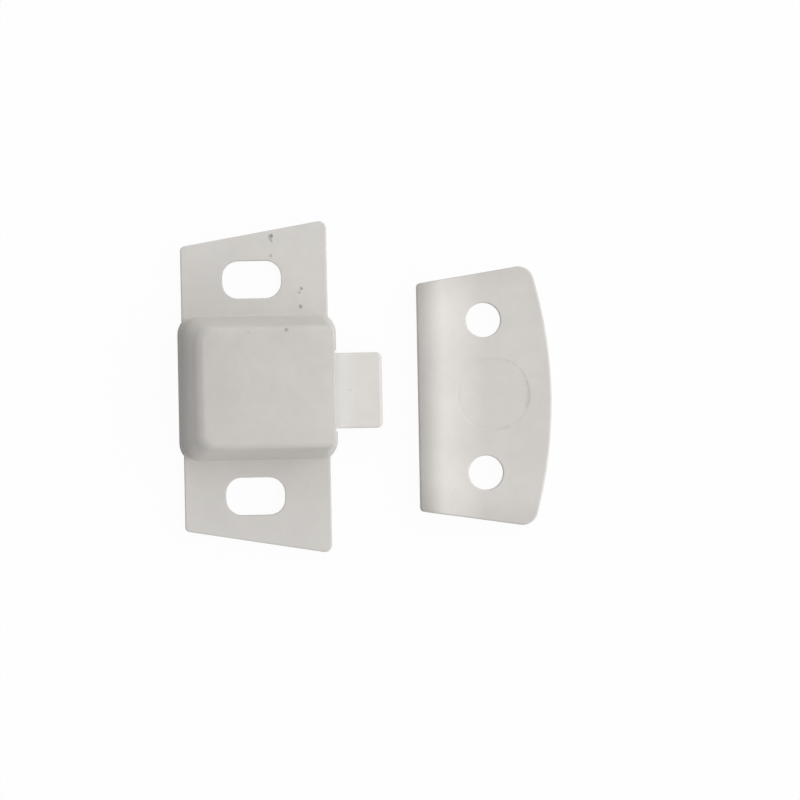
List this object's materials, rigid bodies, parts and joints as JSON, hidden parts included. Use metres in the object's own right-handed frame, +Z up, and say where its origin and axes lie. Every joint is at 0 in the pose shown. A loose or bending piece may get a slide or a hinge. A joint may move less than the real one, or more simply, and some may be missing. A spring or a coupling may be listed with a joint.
{
  "type": "rocker catch",
  "caption": "Moulded plastic door catch: a sprung rocking tongue in a flanged hood with slotted screw holes, and its separate strike plate with a rounded lip.",
  "frame": {"origin": "on the mounting face, midway between the two screw slots of the catch", "axes": "+X along the catch, +Y the way the tongue points, +Z up from the mounting face"},
  "size_m": [0.0414, 0.0466, 0.0094],
  "materials": {
    "body_plastic": "satin off-white moulding",
    "rocker_plastic": "satin off-white moulding",
    "pin_steel": "bright drawn wire",
    "spring_steel": "zinc plated wire"
  },
  "bodies": {
    "catch": {"housing": "body_plastic", "pivot_pin": "pin_steel", "return_spring": "spring_steel"},
    "rocker": {"rocker": "rocker_plastic"},
    "strike": {"strike_plate": "body_plastic"}
  },
  "joints": [
    {"name": "rocker_pivot", "type": "hinge", "parent": "catch", "child": "rocker", "pos_m": [0, 0.0063, 0.00387], "axis": [1, 0, 0], "range_deg": [-25, 25], "stiffness_Nm_per_rad": 0.027, "deforming": ["return_spring"]},
    {"name": "strike_slide", "type": "slide", "parent": "catch", "child": "strike", "axis": [0, 1, 0], "range_m": [-0.004, 0.02]}
  ]
}
